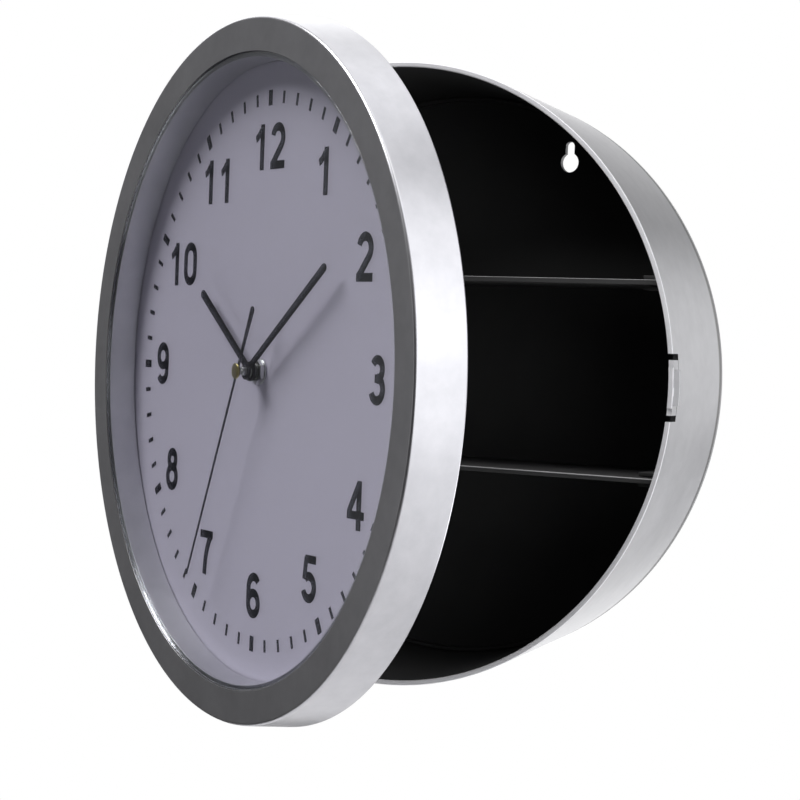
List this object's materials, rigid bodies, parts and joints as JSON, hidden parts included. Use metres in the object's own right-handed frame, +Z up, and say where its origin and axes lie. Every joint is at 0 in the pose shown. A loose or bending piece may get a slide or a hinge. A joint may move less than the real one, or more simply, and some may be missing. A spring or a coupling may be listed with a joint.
{
  "type": "wall clock safe",
  "caption": "Round wall clock whose face is a door hinged on a hollow case with two shelves; hands, quartz movement, snap catch and keyhole slots.",
  "frame": {"origin": "centre of the flat back face of the case, which lies on the wall", "axes": "+X to the right and +Z up as seen from the room, +Y into the wall; the dial faces -Y when the door is shut"},
  "size_m": [0.2502, 0.1888, 0.253],
  "materials": {
    "silver_paint": "satin silver paint",
    "bezel_paint": "satin silver grey paint",
    "black_plastic": "fine matte",
    "movement_plastic": "satin",
    "clear_lens": "polished",
    "dial_card": "printed matte",
    "black_rubber": "matte",
    "cell_jacket": "satin",
    "steel": "bright",
    "brass": "satin",
    "hand_black": "satin black paint"
  },
  "bodies": {
    "case": {"case_wall": "silver_paint", "case_back": "black_plastic", "upper_shelf": "black_plastic", "lower_shelf": "black_plastic", "hinge_pin": "steel"},
    "catch": {"catch_tongue": "silver_paint"},
    "door": {"bezel_frame": "bezel_paint", "lens": "clear_lens", "dial_plate": "dial_card", "door_back_plate": "black_plastic", "gasket": "black_rubber", "movement_housing": "movement_plastic", "movement_cover": "movement_plastic", "battery_cell": "cell_jacket", "contact_positive": "steel", "contact_negative": "steel", "dial_washer": "steel", "dial_nut": "steel"},
    "knob": {"setting_knob": "movement_plastic"},
    "hour": {"hour_pipe": "steel", "hour_hand": "hand_black"},
    "minute": {"minute_arbor": "steel", "minute_hand": "hand_black"},
    "second": {"second_arbor": "steel", "second_hand": "hand_black", "second_cap": "brass"}
  },
  "joints": [
    {"name": "door_hinge", "type": "hinge", "parent": "case", "child": "door", "pos_m": [-0.124, -0.059, 0], "axis": [0, 0, -1], "range_deg": [-28.5, 76.5]},
    {"name": "catch_bend", "type": "hinge", "parent": "case", "child": "catch", "pos_m": [0.1166, -0.05315, 0], "axis": [0, 0, -1], "range_deg": [0, 5], "stiffness_Nm_per_rad": 2},
    {"name": "minute_spin", "type": "hinge", "parent": "door", "child": "minute", "pos_m": [-0.01856, -0.12467, 0], "axis": [0.4772, 0.8788, 0], "continuous": true},
    {"name": "hour_spin", "type": "hinge", "parent": "door", "child": "hour", "pos_m": [-0.01779, -0.12326, 0], "axis": [0.4772, 0.8788, 0], "continuous": true},
    {"name": "second_spin", "type": "hinge", "parent": "door", "child": "second", "pos_m": [-0.02023, -0.12775, 0], "axis": [0.4772, 0.8788, 0], "continuous": true},
    {"name": "knob_spin", "type": "hinge", "parent": "door", "child": "knob", "pos_m": [-0.00692, -0.10323, 0.009], "axis": [0.4772, 0.8788, 0], "continuous": true}
  ],
  "couplings": [
    {"joint": "hour_spin", "follows": "minute_spin", "ratio": 0.083333},
    {"joint": "knob_spin", "follows": "minute_spin", "ratio": -0.33333}
  ]
}
